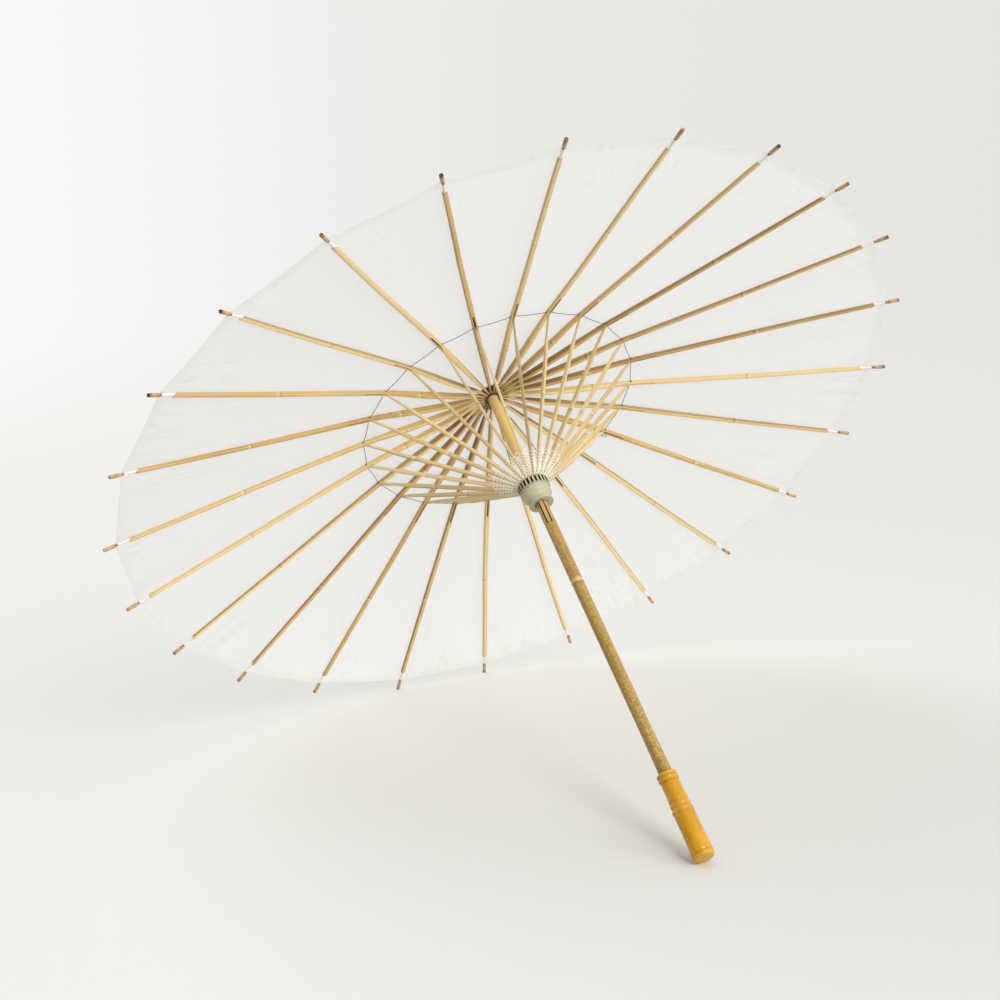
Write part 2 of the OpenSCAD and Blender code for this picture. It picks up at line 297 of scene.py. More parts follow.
class Tree:
    """Short calls for a node tree."""

    def __init__(self, tree):
        self.tree = tree

    def new(self, kind, **values):
        node = self.tree.nodes.new(kind)
        for key, value in values.items():
            setattr(node, key, value)
        return node

    def link(self, a, b):
        self.tree.links.new(a, b)

    def ramp(self, factor, *stops):
        """Stops are (place, colour), where a single number is a grey."""
        ramp = self.new("ShaderNodeValToRGB")
        elements = ramp.color_ramp.elements
        while len(elements) < len(stops):
            elements.new(0.5)
        for element, (place, colour) in zip(elements, stops):
            element.position = place
            element.color = (*colour, 1) if hasattr(colour, "__len__") else (colour, colour, colour, 1)
        self.link(factor, ramp.inputs["Fac"])
        return ramp.outputs["Color"]

    def mix(self, factor, a, b, blend="MIX"):
        node = self.new("ShaderNodeMix", data_type="RGBA", blend_type=blend)
        for value, socket in ((factor, 0), (a, 6), (b, 7)):
            if isinstance(value, bpy.types.NodeSocket):
                self.link(value, node.inputs[socket])
            elif socket:
                node.inputs[socket].default_value = (*value, 1)
            else:
                node.inputs[socket].default_value = value
        return node.outputs[2]

    def math(self, kind, a, b):
        node = self.new("ShaderNodeMath", operation=kind)
        for value, socket in ((a, 0), (b, 1)):
            if isinstance(value, bpy.types.NodeSocket):
                self.link(value, node.inputs[socket])
            else:
                node.inputs[socket].default_value = value
        return node.outputs[0]

    def map_range(self, value, low, high, to_low=0.0, to_high=1.0, **values):
        node = self.new("ShaderNodeMapRange", **values)
        for socket, number in (("From Min", low), ("From Max", high), ("To Min", to_low), ("To Max", to_high)):
            node.inputs[socket].default_value = number
        self.link(value, node.inputs["Value"])
        return node.outputs["Result"]

    def mix_shaders(self, factor, a, b):
        node = self.new("ShaderNodeMixShader")
        if isinstance(factor, bpy.types.NodeSocket):
            self.link(factor, node.inputs[0])
        else:
            node.inputs[0].default_value = factor
        self.link(a, node.inputs[1])
        self.link(b, node.inputs[2])
        return node.outputs[0]


class Nodes(Tree):
    """Short calls for a material's node tree."""

    def __init__(self, name):
        self.material = bpy.data.materials.new(name)
        self.material.use_nodes = True
        super().__init__(self.material.node_tree)
        self.shader = self.tree.nodes["Principled BSDF"]
        self.output = self.tree.nodes["Material Output"]

    def grain(self, across, along, detail=4.0, rough=0.6, seed=0.0):
        """Noise on the texture places, in features per metre across and along the grain."""
        place = self.new("ShaderNodeUVMap", uv_map="grain")
        scale = self.new("ShaderNodeMapping")
        scale.inputs["Scale"].default_value = (across, along, 1)
        scale.inputs["Location"].default_value = (seed, seed * 1.7, seed)
        pattern = self.new("ShaderNodeTexNoise")
        pattern.inputs["Scale"].default_value = 1.0
        pattern.inputs["Detail"].default_value = detail
        pattern.inputs["Roughness"].default_value = rough
        self.link(place.outputs["UV"], scale.inputs["Vector"])
        self.link(scale.outputs["Vector"], pattern.inputs["Vector"])
        return pattern.outputs["Fac"]

    def cloud(self, size, detail=3.0, seed=0.0):
        """Noise in the object's own space, with features of that many per metre."""
        place = self.new("ShaderNodeTexCoord")
        scale = self.new("ShaderNodeMapping")
        scale.inputs["Location"].default_value = (seed, seed, seed)
        pattern = self.new("ShaderNodeTexNoise")
        pattern.inputs["Scale"].default_value = size
        pattern.inputs["Detail"].default_value = detail
        self.link(place.outputs["Object"], scale.inputs["Vector"])
        self.link(scale.outputs["Vector"], pattern.inputs["Vector"])
        return pattern.outputs["Fac"]

    def mark(self):
        """The piece's marks, each from 0 to 1: node band, darkening and tone. The darkening holds real dark
        rings at nodes and joints, and painted shade in slits, grooves, recesses, undersides and along edges;
        the tone varies at random, and on the shaft it is painted light and shade along its length.
        """
        read = self.new("ShaderNodeAttribute", attribute_name="mark")
        parts = self.new("ShaderNodeSeparateColor")
        self.link(read.outputs["Color"], parts.inputs["Color"])
        return parts.outputs["Red"], parts.outputs["Green"], parts.outputs["Blue"]

    def bump(self, height, strength, distance):
        node = self.new("ShaderNodeBump")
        node.inputs["Strength"].default_value = strength
        node.inputs["Distance"].default_value = distance
        self.link(height, node.inputs["Height"])
        self.link(node.outputs["Normal"], self.shader.inputs["Normal"])

    def colour(self, socket):
        self.link(socket, self.shader.inputs["Base Color"])

    def rough(self, factor, low, high):
        self.link(self.map_range(factor, 0, 1, low, high), self.shader.inputs["Roughness"])

    def set(self, **values):
        for key, value in values.items():
            self.shader.inputs[key.replace("_", " ")].default_value = value


def bamboo(name, deep, body, light, band, stain_and_shade, seed, rough=(0.38, 0.6), coat=0.0, mottle=0.0):
    m = Nodes(name)
    is_band, is_dark, tone = m.mark()
    fibres = m.grain(2600, 26, 5, 0.65, seed)
    streaks = m.grain(700, 9, 3, 0.55, seed + 3)
    patches = m.grain(60, 14, 3, 0.5, seed + 7)
    colour = m.ramp(streaks, (0.30, deep), (0.50, body), (0.72, [0.5 * (a + b) for a, b in zip(body, light)]))
    if mottle:
        spots = m.ramp(m.cloud(420, 4, seed), (0.40, mottle), (0.58, 0))
        colour = m.mix(spots, colour, [0.62 * c for c in deep])
    colour = m.mix(m.ramp(patches, (0.35, 0), (0.75, 0.55)), colour, deep)
    colour = m.mix(m.ramp(fibres, (0.35, 0.25), (0.6, 0)), colour, stain_and_shade)
    colour = m.mix(m.math("MULTIPLY", tone, 0.85), colour, light)
    band_grain = m.ramp(m.cloud(600, 3, seed + 9), (0.35, 0.55), (0.6, 1))
    colour = m.mix(m.math("MULTIPLY", is_band, band_grain), colour, band)
    # The dark mark darkens the colour: real node and joint rings, and painted shade in slits, on edges and
    # undersides and where the shaft meets the handle.
    colour = m.mix(is_dark, colour, stain_and_shade)
    m.colour(colour)
    m.rough(streaks, *rough)
    m.bump(fibres, 0.35, 0.0002)
    m.set(Coat_Weight=coat, Coat_Roughness=0.2)
    return m.material


def lacquer(name):
    m = Nodes(name)
    worn, dark, _ = m.mark()
    figure = m.grain(150, 40, 4, 0.6, 2.0)
    pores = m.grain(2200, 90, 3, 0.7, 5.0)
    colour = m.ramp(figure, (0.25, (0.44, 0.205, 0.008)), (0.52, (0.60, 0.30, 0.012)),
                    (0.80, (0.71, 0.385, 0.022)))
    colour = m.mix(m.ramp(pores, (0.30, 0.3), (0.48, 0)), colour, (0.38, 0.17, 0.004))
    # The dark mark is painted shade in the grooves and at the top edge.
    colour = m.mix(dark, colour, (0.20, 0.08, 0.003))
    colour = m.mix(worn, colour, (0.86, 0.60, 0.20))
    m.colour(colour)
    m.rough(figure, 0.30, 0.42)
    m.bump(m.cloud(190, 3, 4.0), 0.3, 0.0007)
    m.set(Specular_IOR_Level=0.25, Coat_Weight=0.35, Coat_Roughness=0.12, Coat_IOR=1.5)
    return m.material


def turned_wood(name, deep, body, seed, rough=(0.5, 0.7), coat=0.0):
    m = Nodes(name)
    _, dark, _ = m.mark()
    patches = m.cloud(220, 3, seed)
    pores = m.cloud(1500, 4, seed + 2)
    colour = m.ramp(patches, (0.35, deep), (0.65, body))
    colour = m.mix(m.ramp(pores, (0.38, 0.5), (0.55, 0)), colour, deep)
    colour = m.mix(dark, colour, (0.02, 0.012, 0.008))
    m.colour(colour)
    m.rough(pores, *rough)
    m.bump(pores, 0.25, 0.0003)
    m.set(Coat_Weight=coat, Coat_Roughness=0.15)
    return m.material


def plastic(name):
    m = Nodes(name)
    _, dark, _ = m.mark()
    flow = m.cloud(45, 3, 1.0)
    orange_peel = m.cloud(1400, 2, 2.0)
    colour = m.ramp(flow, (0.35, (0.39, 0.37, 0.235)), (0.65, (0.47, 0.45, 0.29)))
    # The dark mark is painted shade in the runner's recesses.
    m.colour(m.mix(dark, colour, (0.24, 0.23, 0.15)))
    m.rough(flow, 0.42, 0.58)
    m.bump(orange_peel, 0.10, 0.0002)
    m.set(Subsurface_Weight=0.08, Subsurface_Scale=0.002)
    return m.material


def paper(name, tint, through, seed):
    """Thin oiled paper: reflects on the near side and lets light through from the far side."""
    m = Nodes(name)
    pulp = m.grain(90, 90, 6, 0.6, seed)
    strands = m.grain(160, 900, 4, 0.7, seed + 1)
    crinkle = m.grain(62, 10, 2, 0.5, seed + 2)
    place = m.new("ShaderNodeUVMap", uv_map="grain")
    along = m.new("ShaderNodeSeparateXYZ")
    m.link(place.outputs["UV"], along.inputs["Vector"])
    rim = m.map_range(along.outputs["Y"], 0.20, 0.41)
    warm = (tint[0], tint[1] * 0.99, tint[2] * 0.97)
    colour = m.ramp(pulp, (0.3, warm), (0.7, tint))
    colour = m.mix(m.ramp(strands, (0.52, 0), (0.7, 0.2)), colour, (0.98, 0.98, 0.97))
    patches = m.ramp(m.grain(16, 9, 2, 0.5, seed + 5), (0.42, 0), (0.62, 1))
    # Painted shade: the creases near the rim are drawn as darker lines.
    creases = m.ramp(crinkle, (0.455, 0), (0.492, 1), (0.50, 1), (0.515, 0))
    creases = m.math("MULTIPLY", m.math("MULTIPLY", creases, rim), patches)
    colour = m.mix(m.math("MULTIPLY", creases, 0.30), colour, (0.76, 0.75, 0.74))
    m.colour(colour)
    m.rough(pulp, 0.42, 0.6)
    folds = m.math("MULTIPLY", m.math("MULTIPLY", crinkle, rim), 2.5)
    m.bump(m.math("ADD", folds, m.math("MULTIPLY", strands, 0.06)), 0.55, 0.0022)
    glow = m.new("ShaderNodeBsdfTranslucent")
    m.link(colour, glow.inputs["Color"])
    m.link(m.mix_shaders(through, m.shader.outputs[0], glow.outputs[0]), m.output.inputs["Surface"])
    return m.material


def thread(name, low, high, seed):
    m = Nodes(name)
    place = m.new("ShaderNodeUVMap", uv_map="grain")
    plies = m.new("ShaderNodeTexWave", wave_type="BANDS", bands_direction="DIAGONAL")
    plies.inputs["Scale"].default_value = 420
    plies.inputs["Distortion"].default_value = 1.5
    m.link(place.outputs["UV"], plies.inputs["Vector"])
    fuzz = m.cloud(2500, 3, seed)
    colour = m.ramp(plies.outputs["Fac"], (0.1, low), (0.7, high))
    m.colour(m.mix(m.ramp(fuzz, (0.4, 0.3), (0.6, 0)), colour, low))
    m.rough(fuzz, 0.7, 0.95)
    m.bump(plies.outputs["Fac"], 0.5, 0.0001)
    m.set(Sheen_Weight=0.2)
    return m.material


def dull_wire(name):
    m = Nodes(name)
    rust = m.cloud(700, 4, 1.0)
    m.colour(m.ramp(rust, (0.4, (0.36, 0.35, 0.33)), (0.7, (0.20, 0.12, 0.07))))
    m.rough(rust, 0.35, 0.75)
    m.set(Metallic=0.9)
    return m.material


RIB_BAMBOO = bamboo("rib_bamboo", (0.50, 0.285, 0.08), (0.72, 0.47, 0.165), (0.96, 0.74, 0.36),
                    (0.94, 0.78, 0.46), (0.17, 0.085, 0.018), 1.0)
STRETCHER_BAMBOO = bamboo("stretcher_bamboo", (0.46, 0.32, 0.12), (0.70, 0.51, 0.24), (0.84, 0.68, 0.40),
                          (0.88, 0.76, 0.50), (0.26, 0.19, 0.06), 11.0)
SHAFT_BAMBOO = bamboo("shaft_bamboo", (0.36, 0.20, 0.038), (0.50, 0.305, 0.071), (0.80, 0.58, 0.20),
                      (0.72, 0.50, 0.19), (0.12, 0.055, 0.012), 21.0, (0.34, 0.52), 0.15, 0.75)
CATCH_BAMBOO = bamboo("catch_bamboo", (0.36, 0.21, 0.09), (0.52, 0.33, 0.15), (0.64, 0.44, 0.23),
                      (0.80, 0.62, 0.38), (0.22, 0.11, 0.04), 31.0)
SLOT_SHADE = turned_wood("slot_shade", (0.02, 0.015, 0.008), (0.04, 0.028, 0.015), 9.0, (0.8, 0.95))
HANDLE_LACQUER = lacquer("handle_lacquer")
# Near black as painted shade: the notch stands for the shade between the rib tails.
NOTCH_SHADE_WOOD = turned_wood("notch_wood", (0.07, 0.04, 0.014), (0.12, 0.07, 0.025), 1.0)
CAP_WOOD = turned_wood("cap_wood", (0.36, 0.18, 0.05), (0.54, 0.31, 0.10), 3.0, (0.3, 0.45), 0.5)
TIP_WOOD = turned_wood("tip_wood", (0.42, 0.25, 0.10), (0.66, 0.43, 0.20), 5.0)
RUNNER_PLASTIC = plastic("runner_plastic")
PAPER = paper("oiled_paper", (0.966, 0.970, 0.960), 0.74, 1.0)
HEM_PAPER = paper("hem_paper", (0.950, 0.955, 0.945), 0.70, 4.0)
WRAP_PAPER = paper("wrap_paper", (0.85, 0.81, 0.77), 0.10, 7.0)
WHITE_THREAD = thread("white_thread", (0.86, 0.84, 0.78), (0.96, 0.95, 0.92), 1.0)
DARK_THREAD = thread("dark_thread", (0.035, 0.04, 0.035), (0.12, 0.13, 0.11), 2.0)
WIRE = dull_wire("binding_wire")


# ---------------------------------------------------------------- ribs

TANG = 7 * MM
TANG_TAIL = 4 * MM
SLIT_HALF = 1.0 * MM
SLIT_BEFORE = 4.4 * MM
SLIT_LEN = 26 * MM
BODY_END = RIB_LEN - BLOCK - NECK
# place along the rib, half depth, half width
RIB_STATIONS = [
    (0.0, 1.7 * MM, 0.8 * MM),
    (TANG, 1.7 * MM, 0.8 * MM),
    (2.4 * TANG, 1.8 * MM, 2.7 * MM),
    (INNER_LEN, 2.0 * MM, 2.7 * MM),
    (INNER_LEN + 0.45 * OUTER_LEN, 1.75 * MM, 2.45 * MM),
    (BODY_END, 1.5 * MM, 2.3 * MM),
]
# place along the rib, extra depth of its underside
BELLY = [(2.4 * TANG, 0.0), (34 * MM, 2.8 * MM), (80 * MM, 2.8 * MM), (120 * MM, 0.0)]
NODE_PLACES = (94 * MM, INNER_LEN + 0.47 * OUTER_LEN)


def rib_half_width(s, wide):
    """A rib may fill only its own sector of the shut umbrella."""
    folded_r = HUB_R + s * math.sin(FOLDED)
    return min(wide, folded_r * math.tan(HALF_PITCH) - 0.2 * MM)


def rib_section(w, d, slit):
    """Half of a rib's section from the top middle to the slit's roof, as (y, h)."""
    roof = 1.45 * MM if slit else -1.04 * d
    slit_y = SLIT_HALF if slit else 0.34 * w
    return [
        (0.0, d), (0.52 * w, 0.99 * d), (0.86 * w, 0.90 * d), (w, 0.62 * d), (0.97 * w, -0.15 * d),
        (0.90 * w, -0.62 * d), (0.68 * w, -0.93 * d), (max(slit_y, 0.34 * w), -1.03 * d),
        (slit_y, -1.05 * d), (slit_y * (1.0 if slit else 0.4), roof),
    ]


def rib_places(nodes):
    step = 9 * MM
    places = [-TANG_TAIL, -0.5 * TANG_TAIL] + [step * i for i in range(int(BODY_END / step))] + [BODY_END]
    for middle in nodes:
        places += [middle + k * 0.8 * MM for k in range(-5, 6)]
    for edge in (INNER_LEN - SLIT_BEFORE, INNER_LEN + SLIT_LEN):
        places += [edge - 0.05 * MM, edge + 0.05 * MM]
    places += [TANG, 2.4 * TANG, 0.5 * TANG, 0.4 * MM, INNER_LEN - 0.2 * MM, BODY_END - 1.2 * MM]
    return sorted(set(round(p, 7) for p in places if -TANG_TAIL <= p <= BODY_END))


def make_rib(n):
    rng = random.Random(100 + n)
    spoke = rib_spoke(n)
    build = Build()
    tone = rng.random()
    nodes = [p + rng.uniform(-6, 6) * MM for p in NODE_PLACES]
    kink = rng.uniform(-1.3, 1.3) * MM
    bow = rng.uniform(-0.7, 0.7) * MM
    # The side whose edge gets extra painted shade.
    dark_side = rng.choice((-1, 1))
    rings, marks, lengths = [], [], []
    for s in rib_places(nodes):
        d, w = between(RIB_STATIONS, s)
        w = rib_half_width(s, w)
        if s < 0:
            w *= 1 + 0.3 * s / TANG_TAIL
        swell = 1 + 0.07 * sum(bell(s, p, 1.5 * MM) for p in nodes)
        end = min(1.0, 0.75 + 0.25 * (BODY_END - s) / (1.2 * MM)) if s > BODY_END - 1.2 * MM else 1.0
        slit = INNER_LEN - SLIT_BEFORE <= s <= INNER_LEN + SLIT_LEN
        half = rib_section(w * swell * end, d * end, slit)
        section = half + [(-y, h) for y, h in reversed(half[1:])]
        shift = 0.0
        if s > INNER_LEN:
            rise, fall = (s - INNER_LEN) / (nodes[1] - INNER_LEN), (RIB_LEN - s) / (RIB_LEN - nodes[1])
            shift = kink * min(rise, fall) + bow * math.sin(2 * math.pi * (s - INNER_LEN) / OUTER_LEN)
        ring = []
        for y, h in section:
            if h < 0:
                h *= 1 + between(BELLY, s)[0] / d
                room = (HUB_R + s * math.sin(FOLDED) + h) * math.tan(HALF_PITCH) - 0.15 * MM
                y = max(-room, min(room, y))
            x, z = along_rib(s, h)
            ring.append(spoke.at(x, y + shift, z))
        rings.append(ring)
        lengths.append(s)
        band = min(0.6, 0.6 * sum(bell(s, p + 1.2 * MM, 1.5 * MM) for p in nodes))
        ring_mark = 0.45 * sum(bell(s, p - 1.4 * MM, 0.6 * MM) for p in nodes)
        ring_mark += 0.6 * bell(s, BODY_END, 0.8 * MM)
        row = []
        for y, h in section:
            # Painted shade: dark inside the slit and along the side edges, more on dark_side. The marks also
            # grow darker towards the hub.
            deep = 0.9 if slit and h > -0.9 * d and abs(y) <= SLIT_HALF * 1.05 and abs(h) < d else 0.0
            deep = max(deep, 0.34 * bell(s, 0, 30 * MM))
            if s >= 1.6 * TANG and abs(y) > 0.85 * w:
                deep = max(deep, 0.36 + 0.34 * (y * dark_side > 0) + 0.40 * bell(s, 0, 60 * MM))
            elif s >= 1.6 * TANG and abs(y) > 0.6 * w and y * dark_side > 0:
                deep = max(deep, 0.22)
            row.append((band, min(1.0, ring_mark + deep), tone))
        marks.append(row)
    build.loft(rings, lengths, marks, shift=0.03 * n)
    add_tip(build, spoke, rng, tone)
    add_joint_thread(build, spoke)
    rib = build.piece(f"rib_{number(n)}_bamboo", [RIB_BAMBOO, WRAP_PAPER, TIP_WOOD, DARK_THREAD], 38)
    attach(rib, f"rib_{number(n)}")
    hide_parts(f"rib_{number(n)}")


def round_section(build, spoke, stations, slot, mark, sides=14):
    """A round or oval bar along the rib: stations of (place, half width, half depth, height)."""
    rings, lengths = [], []
    for s, w, d, h in stations:
        turns = [2 * math.pi * k / sides for k in range(sides)]
        ring = []
        for a in turns:
            x, z = along_rib(s, h + d * math.sin(a))
            ring.append(spoke.at(x, w * math.cos(a), z))
        rings.append(ring)
        lengths.append(s)
    build.loft(rings, lengths, [[mark(s)] * sides for s in lengths], slot)


def add_tip(build, spoke, rng, tone):
    """The rib's wrapped neck, its tie and the small round block at the very end."""
    neck_end = RIB_LEN - BLOCK
    wrap = []
    for i in range(11):
        f = i / 10
        s = BODY_END - 2.2 * MM + (NECK + 1.8 * MM) * f
        w = (2.45 - 1.30 * min(1.0, f * 2.6) + 0.10 * rng.uniform(-1, 1)) * MM
        d = (1.60 - 0.60 * min(1.0, f * 2.6) + 0.06 * rng.uniform(-1, 1)) * MM
        wrap.append((s, w, d, 0.1 * MM))
    round_section(build, spoke, wrap, 1, lambda s: (0, 0, tone))
    for k in range(3):
        s = neck_end - (0.9 + 0.65 * k) * MM
        tie = [(s - 0.4 * MM, 1.2 * MM, 1.0 * MM, 0), (s - 0.2 * MM, 1.45 * MM, 1.2 * MM, 0),
               (s + 0.2 * MM, 1.45 * MM, 1.2 * MM, 0), (s + 0.4 * MM, 1.2 * MM, 1.0 * MM, 0)]
        round_section(build, spoke, tie, 2, lambda s: (0, 0.45, 0), 12)
    full = 1.9 * MM
    burnt = rng.choice((0.25, 0.55, 0.95))
    block = [(neck_end - 0.2 * MM, 0.5 * full), (neck_end, 0.82 * full), (neck_end + 0.5 * MM, full * 0.97)]
    block += [(neck_end + BLOCK * f, full * (1 - 0.03 * math.sin(9 * f))) for f in (0.2, 0.4, 0.6, 0.8, 0.93)]
    block += [(RIB_LEN - 0.25 * MM, full * 0.95), (RIB_LEN, full * 0.72), (RIB_LEN - 0.6 * MM, full * 0.35)]
    stations = [(s, r, r, 0.0) for s, r in block]

    def mark(s):
        return (0, burnt * bell(s, RIB_LEN, 2.4 * MM) + 0.25 * bell(s, neck_end, 1 * MM), tone)

    round_section(build, spoke, stations, 2, mark, 16)


def add_joint_thread(build, spoke):
    """The dark thread's turn through the rib at the stretcher joint."""
    for side in (-1, 1):
        knot = []
        for i in range(5):
            y = side * (2.2 + 0.9 * i / 4) * MM
            knot.append(spoke.at(RING_R, y, RING_Z))
        build.tube(knot, lambda f: (0.55 + 0.45 * math.sin(math.pi * f)) * MM, 8, 3)


# ---------------------------------------------------------------- stretchers and lacing

FOOT_LEN = 12 * MM
JOINT_LEN = 27 * MM
# length from the runner, half depth, half width, and the folding side's share of the half depth
STRETCHER_STATIONS = [
    (0.0, 1.1 * MM, 0.9 * MM, 1.0),
    (FOOT_LEN, 1.1 * MM, 0.9 * MM, 1.0),
    (FOOT_LEN + 6 * MM, 1.65 * MM, 1.3 * MM, 1.0),
    (FOOT_LEN + 12 * MM, 2.2 * MM, 1.3 * MM, 1.0),
    (STRETCHER_LEN - JOINT_LEN - 12 * MM, 2.2 * MM, 1.3 * MM, 1.0),
    (STRETCHER_LEN - JOINT_LEN, 2.2 * MM, 1.2 * MM, 0.5),
    (STRETCHER_LEN - JOINT_LEN + 6 * MM, 2.2 * MM, 0.75 * MM, 0.5),
    (STRETCHER_LEN - 13 * MM, 2.1 * MM, 0.75 * MM, 0.52),
    (STRETCHER_LEN - 4 * MM, 1.1 * MM, 0.75 * MM, 1.0),
    (STRETCHER_LEN, 1.05 * MM, 0.75 * MM, 1.0),
]


def stretcher_section(w, d):
    half = [(0.0, 1.02 * d), (0.6 * w, 0.99 * d), (0.93 * w, 0.86 * d), (w, 0.3 * d), (0.98 * w, -0.45 * d),
            (0.9 * w, -0.86 * d), (0.5 * w, -0.99 * d), (0.0, -1.01 * d)]
    return half + [(-y, h) for y, h in reversed(half[1:-1])]


def make_stretcher(n):
    rng = random.Random(200 + n)
    spoke = rib_spoke(n)
    build = Build()
    tone = rng.random()
    step = 6 * MM
    places = [-1.0 * MM, -0.6 * MM] + [step * i for i in range(int(STRETCHER_LEN / step) + 1)]
    places += [STRETCHER_LEN - 0.2 * MM, STRETCHER_LEN + 0.8 * MM, STRETCHER_LEN + 1.25 * MM]
    node = rng.uniform(70, 110) * MM
    # How much painted shade the stretcher's underside and one side get.
    shade = rng.uniform(0.10, 0.60)
    shaded_side = rng.choice((-1, 1))
    places += [node + k * MM for k in (-2, -1, 0, 1, 2)]
    places += [STRETCHER_LEN - d * MM for d in (39, 27, 21, 8, 4)]
    rings, marks, lengths = [], [], []
    for s in sorted(places):
        d, w, folding = between(STRETCHER_STATIONS, s)
        for over, reach in ((-s, 1.1 * MM), (s - STRETCHER_LEN, 1.35 * MM)):
            if over > 0:
                d *= math.sqrt(max(0.02, 1 - (over / reach) ** 2))
        w *= 1 + 0.05 * bell(s, node, 1.4 * MM)
        ring = []
        for y, h in stretcher_section(w, d):
            x, z = along_stretcher(s, h * folding if h < 0 else h)
            ring.append(spoke.at(x, y, z))
        rings.append(ring)
        lengths.append(s)
        band = 0.6 * bell(s, node, 1.6 * MM)
        dark = 0.35 * bell(s, node - 2 * MM, 0.8 * MM) + 0.5 * bell(s, STRETCHER_LEN, 5 * MM)
        row = []
        for y, h in stretcher_section(w, d):
            # Painted shade: the underside darker, and one side a little.
            edge = shade if h < -0.8 * d else 0.4 * shade * (y * shaded_side > 0)
            row.append((band, min(1.0, dark + edge), tone))
        marks.append(row)
    build.loft(rings, lengths, marks, shift=0.03 * n)
    pin = [spoke.at(RING_R, y * MM, RING_Z) for y in (-2.6, -1.0, 1.0, 2.6)]
    build.tube(pin, 0.5 * MM, 8, 1)
    stretcher = build.piece(f"stretcher_{number(n)}_bamboo", [STRETCHER_BAMBOO, DARK_THREAD], 40)
    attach(stretcher, f"stretcher_{number(n)}")
    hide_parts(f"stretcher_{number(n)}")


LACING_ROWS = [6.5, 9.3, 12.3, 15.5, 18.9, 22.4, 26.0]
LACING_R = 0.33 * MM


def make_lacing(n):
    """The half of the thread net that hangs on one stretcher: it meets its neighbours' halves in mid gap."""
    spoke = rib_spoke(n)
    build = Build()
    for row, place in enumerate(LACING_ROWS):
        d, w, _ = between(STRETCHER_STATIONS, place * MM)
        xm, zm = along_stretcher(place * MM, -d - 0.6 * LACING_R)
        middle = spoke.at(xm, 0, zm)
        for side in (-1, 1):
            for rise in (-3.0, 3.0):
                gap_n = n if side > 0 else n - 1
                jitter = random.Random(7000 + 97 * (gap_n % RIB_COUNT) + 10 * row + (rise * side > 0))
                slip = jitter.uniform(-1.0, 1.0)
                reach = (place + rise + slip) * MM
                x0, z0 = along_stretcher(place * MM, 0)
                x1, z1 = along_stretcher(reach, 0)
                corner = along_stretcher(place * MM, -0.95 * d - 0.3 * LACING_R)
                line = [middle, spoke.at(corner[0], side * (w + 0.15 * MM), corner[1])]
                for i in range(5):
                    f = i / 4
                    x, z = x0 + (x1 * math.cos(HALF_PITCH) ** 2 - x0) * f, z0 + (z1 - z0) * f
                    y0 = w + 0.3 * MM
                    y = side * (y0 + (x1 * math.sin(HALF_PITCH) * math.cos(HALF_PITCH) - y0) * f)
                    line.append(spoke.at(x, y, z - 0.4 * MM * math.sin(math.pi * f)))
                build.tube(line, LACING_R, 6)
    net = build.piece(f"lacing_{number(n)}", [WHITE_THREAD])
    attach(net, f"stretcher_{number(n)}")
    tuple(spoke.side)
    spoke.at(0, 0, 0)
    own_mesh(net)
    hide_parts("lacing")


def make_band_lacing():
    """The thread that zigzags round the runner's band, under the stretchers and up between them."""
    build = Build()
    line = []
    for n in range(1, RIB_COUNT + 1):
        rng = random.Random(500 + n)
        middle = HALF_PITCH * (2 * n - 1)
        low = -116.7 + rng.uniform(-0.4, 0.2)
        high = -112.6 + rng.uniform(-0.2, 0.3)
        for turn, r, z in ((0.0, 16.35, low), (0.5, 16.4, 0.5 * (low + high)), (0.9, 16.4, high),
                           (1.0, 16.0, high + 0.9), (1.1, 16.4, high), (1.5, 16.4, 0.5 * (low + high))):
            line.append(Spoke(middle + HALF_PITCH * turn).at(r * MM, 0, z * MM))
    build.tube(line + line[:1], 0.38 * MM, 6)
    net = build.piece("band_lacing", [WHITE_THREAD])
    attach(net, "runner")
    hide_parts("lacing")


# ---------------------------------------------------------------- ring thread

THREAD_R = 0.33 * MM
THREAD_START = 3.0 * MM


def make_ring_thread(n):
    """The thread's two half spans beside one rib, with a little slack."""
    spoke = rib_spoke(n)
    for side, name in ((-1, "left"), (1, "right")):
        build = Build()
        line = []
        for i in range(9):
            f = i / 8
            y = THREAD_START + (RING_R * math.sin(HALF_PITCH) * math.cos(HALF_PITCH) - THREAD_START) * f
            x = RING_R - y * math.tan(HALF_PITCH)
            slack = 0.6 * MM * math.sin(0.5 * math.pi * f)
            line.append(spoke.at(x - slack, side * y, RING_Z - 0.4 * slack))
        build.tube(line, THREAD_R, 8)
        if n == 2 and side > 0:
            add_loose_knot(build, spoke)
        ring = build.piece(f"ring_thread_{number(n)}_{name}", [DARK_THREAD])
        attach(ring, f"rib_{number(n)}")
        anchor = spoke.at(0, side * THREAD_START, 0)
        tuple(spoke.side)
        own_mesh(ring)
        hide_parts("ring_thread")


def add_loose_knot(build, spoke):
    """The thread's tied ends: a small open loop and a short tail."""
    loop = []
    for k in range(15):
        a = 2 * math.pi * k / 14
        loop.append(spoke.at(RING_R + 3 * MM - 3 * MM * math.cos(a), (4.5 + 1.6 * math.sin(a)) * MM,
                             RING_Z - (1.5 + 1.2 * math.sin(0.5 * a)) * MM))
    build.tube(loop, 0.3 * MM, 6)
    tail = [spoke.at(RING_R - k * 0.9 * MM, (4.2 + 0.35 * k) * MM, RING_Z - (1.2 + 0.5 * k) * MM)
            for k in range(7)]
    build.tube(tail, 0.3 * MM, 6)


# ---------------------------------------------------------------- canopy

PAPER_EDGE = RIB_LEN - 13 * MM
PAPER_START = 6 * MM
PAPER_LIFT = 0.3 * MM
HEM_WIDTH = 9 * MM
SAG = 1.4 * MM
CREASED_RIM = 70 * MM
CREASE_DEPTH = 0.28 * MM
HALF_COLUMNS = 20
ROW_STEPS = 34


def paper_height(s):
    """How far the paper lies above the rib's centre line."""
    return between(RIB_STATIONS, s)[0] + PAPER_LIFT + (0.35 * MM if s < 3 * TANG else 0.0)


